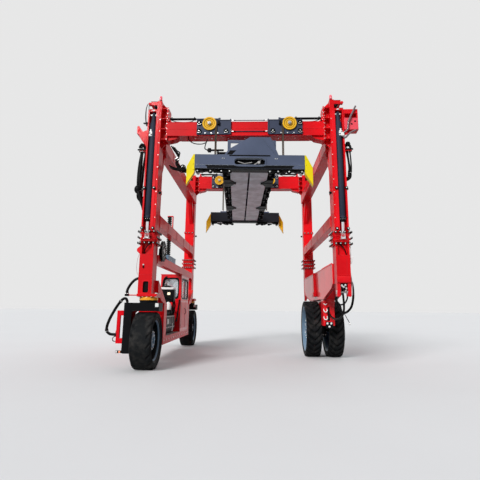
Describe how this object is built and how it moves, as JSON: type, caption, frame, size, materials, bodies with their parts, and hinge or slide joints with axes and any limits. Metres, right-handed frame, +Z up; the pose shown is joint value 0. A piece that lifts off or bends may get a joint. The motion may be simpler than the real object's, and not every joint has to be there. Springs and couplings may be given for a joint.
{
  "type": "rubber tyred gantry crane",
  "caption": "Portal crane on rubber tyres with telescopic legs, trolleys on two crossbeams and a rope-hung telescopic container spreader",
  "frame": {"origin": "on the ground, under the middle of the machine's bounding box; the middle between the four masts is 0.115 m further along +Y", "axes": "+X to the side with the twin tyres, +Y along the travel direction towards the rear, +Z up"},
  "size_m": [5.6778, 7.3297, 6.344],
  "materials": {
    "red_paint": "weathered gloss paint",
    "dark_paint": "dusty blue-black paint",
    "black_paint": "black satin paint",
    "yellow_paint": "yellow gloss paint",
    "wheel_blue": "grey-blue paint",
    "polished_rod": "polished",
    "tyre_rubber": "worn",
    "hose_rubber": "matte",
    "cab_window": "clear",
    "lamp_red": "translucent look"
  },
  "bodies": {
    "left_chassis": {"leg_front_left": "red_paint", "leg_rear_left": "red_paint", "lift_rods_left": "polished_rod", "chassis_left": "red_paint", "cab_frame": "red_paint", "cab_glass": "cab_window", "engine": "black_paint", "tie_beam_left": "red_paint", "cable_reel": "black_paint", "energy_chain": "hose_rubber", "hose_steer_upper": "hose_rubber"},
    "upper_frame": {"front_crossbeam": "red_paint", "rear_crossbeam": "red_paint", "mast_front_left": "red_paint", "mast_front_right": "red_paint", "mast_rear_left": "red_paint", "mast_rear_right": "red_paint", "side_frame_left": "red_paint", "side_frame_right": "red_paint", "lift_barrels": "dark_paint", "beacons": "lamp_red", "mast_brackets": "red_paint", "shift_barrels": "black_paint", "hose_bundle_left": "hose_rubber", "hose_bundle_right": "hose_rubber"},
    "right_chassis": {"leg_front_right": "red_paint", "leg_rear_right": "red_paint", "lift_rods_right": "polished_rod", "chassis_right": "red_paint", "drive_housing": "black_paint", "hose_drive_right": "hose_rubber"},
    "steering_front": {"fork_front_left": "black_paint", "slew_ring_front": "yellow_paint", "hose_steer_lower": "hose_rubber"},
    "steering_rear": {"fork_rear_left": "black_paint", "slew_ring_rear": "yellow_paint"},
    "wheel_front_left": {"rim_front_left": "wheel_blue", "tyre_front_left": "tyre_rubber"},
    "wheel_rear_left": {"rim_rear_left": "wheel_blue", "tyre_rear_left": "tyre_rubber"},
    "wheel_right_inner": {"rim_right_inner": "wheel_blue", "tyre_right_inner": "tyre_rubber"},
    "wheel_right_outer": {"rim_right_outer": "wheel_blue", "tyre_right_outer": "tyre_rubber"},
    "front_trolleys": {"trolleys_front": "dark_paint", "hoist_ropes_front": "hose_rubber", "hoist_ropes_rear": "hose_rubber"},
    "rear_trolleys": {"trolleys_rear": "dark_paint"},
    "front_left_sheave": {"sheave_front_left": "yellow_paint"},
    "front_right_sheave": {"sheave_front_right": "yellow_paint"},
    "rear_left_sheave": {"sheave_rear_left": "yellow_paint"},
    "rear_right_sheave": {"sheave_rear_right": "yellow_paint"},
    "spreader": {"spreader_frame": "dark_paint"},
    "spreader_front_end": {"spreader_end_front": "dark_paint", "guides_front": "yellow_paint"},
    "spreader_rear_end": {"spreader_end_rear": "dark_paint", "guides_rear": "yellow_paint"}
  },
  "joints": [
    {"name": "leg_lift", "type": "slide", "parent": "left_chassis", "child": "upper_frame", "axis": [0, 0, 1], "range_m": [0, 1.3], "deforming": ["energy_chain"]},
    {"name": "leg_lift_right", "type": "slide", "parent": "upper_frame", "child": "right_chassis", "axis": [0, 0, 1], "range_m": [-1.3, 0]},
    {"name": "steer_front", "type": "hinge", "parent": "left_chassis", "child": "steering_front", "pos_m": [-2.12, -2.835, 1.4], "axis": [0, 0, 1], "range_deg": [-25, 25]},
    {"name": "steer_rear", "type": "hinge", "parent": "left_chassis", "child": "steering_rear", "pos_m": [-2.12, 3.065, 1.4], "axis": [0, 0, 1], "range_deg": [-25, 25]},
    {"name": "roll_front_left", "type": "hinge", "parent": "steering_front", "child": "wheel_front_left", "pos_m": [-2.12, -2.835, 0.6], "axis": [1, 0, 0], "continuous": true},
    {"name": "roll_rear_left", "type": "hinge", "parent": "steering_rear", "child": "wheel_rear_left", "pos_m": [-2.12, 3.065, 0.6], "axis": [1, 0, 0], "continuous": true},
    {"name": "roll_right_inner", "type": "hinge", "parent": "right_chassis", "child": "wheel_right_inner", "pos_m": [1.84, 0.115, 0.752], "axis": [1, 0, 0], "continuous": true},
    {"name": "roll_right_outer", "type": "hinge", "parent": "right_chassis", "child": "wheel_right_outer", "pos_m": [2.44, 0.115, 0.752], "axis": [1, 0, 0], "continuous": true},
    {"name": "side_shift_front", "type": "slide", "parent": "upper_frame", "child": "front_trolleys", "axis": [1, 0, 0], "range_m": [-0.25, 0.25]},
    {"name": "side_shift_rear", "type": "slide", "parent": "upper_frame", "child": "rear_trolleys", "axis": [1, 0, 0], "range_m": [-0.25, 0.25]},
    {"name": "spin_front_left", "type": "hinge", "parent": "front_trolleys", "child": "front_left_sheave", "pos_m": [-0.845, -3.062, 5.575], "axis": [0, 1, 0], "range_deg": [-10, 870]},
    {"name": "spin_front_right", "type": "hinge", "parent": "front_trolleys", "child": "front_right_sheave", "pos_m": [1.055, -3.062, 5.575], "axis": [0, 1, 0], "range_deg": [-870, 10]},
    {"name": "spin_rear_left", "type": "hinge", "parent": "rear_trolleys", "child": "rear_left_sheave", "pos_m": [-1.085, 2.608, 5.905], "axis": [0, 1, 0], "range_deg": [-10, 870]},
    {"name": "spin_rear_right", "type": "hinge", "parent": "rear_trolleys", "child": "rear_right_sheave", "pos_m": [0.815, 2.608, 5.905], "axis": [0, 1, 0], "range_deg": [-870, 10]},
    {"name": "hoist", "type": "slide", "parent": "front_trolleys", "child": "spreader", "axis": [0, 0, 1], "range_m": [-2.4, 0], "deforming": ["hoist_ropes_front", "hoist_ropes_rear"]},
    {"name": "extend_front", "type": "slide", "parent": "spreader", "child": "spreader_front_end", "axis": [0.0419, -0.9991, 0], "range_m": [0, 3]},
    {"name": "extend_rear", "type": "slide", "parent": "spreader", "child": "spreader_rear_end", "axis": [-0.0419, 0.9991, 0], "range_m": [0, 3]}
  ],
  "couplings": [
    {"joint": "leg_lift_right", "follows": "leg_lift", "ratio": -1},
    {"joint": "side_shift_rear", "follows": "side_shift_front", "ratio": 1},
    {"joint": "extend_rear", "follows": "extend_front", "ratio": 1},
    {"joint": "spin_front_left", "follows": "hoist", "rad_per_m": -6.25},
    {"joint": "spin_front_right", "follows": "hoist", "rad_per_m": 6.25},
    {"joint": "spin_rear_left", "follows": "hoist", "rad_per_m": -6.25},
    {"joint": "spin_rear_right", "follows": "hoist", "rad_per_m": 6.25}
  ]
}
